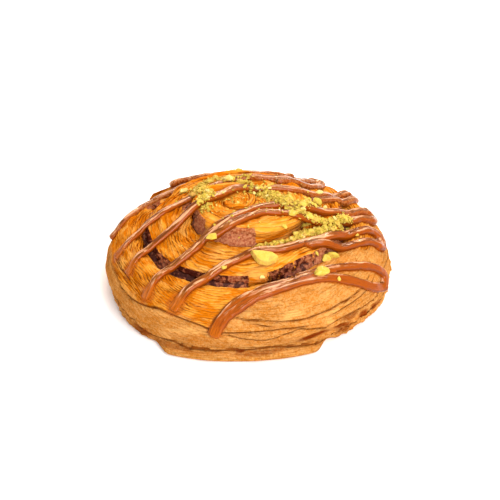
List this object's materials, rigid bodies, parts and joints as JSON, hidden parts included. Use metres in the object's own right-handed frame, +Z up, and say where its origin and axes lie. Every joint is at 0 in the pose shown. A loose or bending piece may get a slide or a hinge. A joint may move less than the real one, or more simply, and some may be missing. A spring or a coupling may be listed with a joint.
{
  "type": "cinnamon roll",
  "caption": "Round cinnamon roll of wound laminated dough with a dark filling in its seams, caramel drizzled over the top and chopped pistachio on it.",
  "frame": {"origin": "middle of the base, on the surface the roll rests on", "axes": "+Z up through the dome; -Y towards the front of the picture, where the tail of the strip sticks out as a lip; +X to the picture's right"},
  "size_m": [0.1128, 0.1116, 0.0411],
  "materials": {
    "baked_dough": "crisp baked laminated dough, golden tan, with glossy caramel drizzle and matte chopped pistachio on it",
    "cinnamon_filling": "dark, slightly grainy cinnamon sugar paste"
  },
  "bodies": {
    "root": {"dough": "baked_dough", "cinnamon_filling": "cinnamon_filling"}
  },
  "joints": []
}
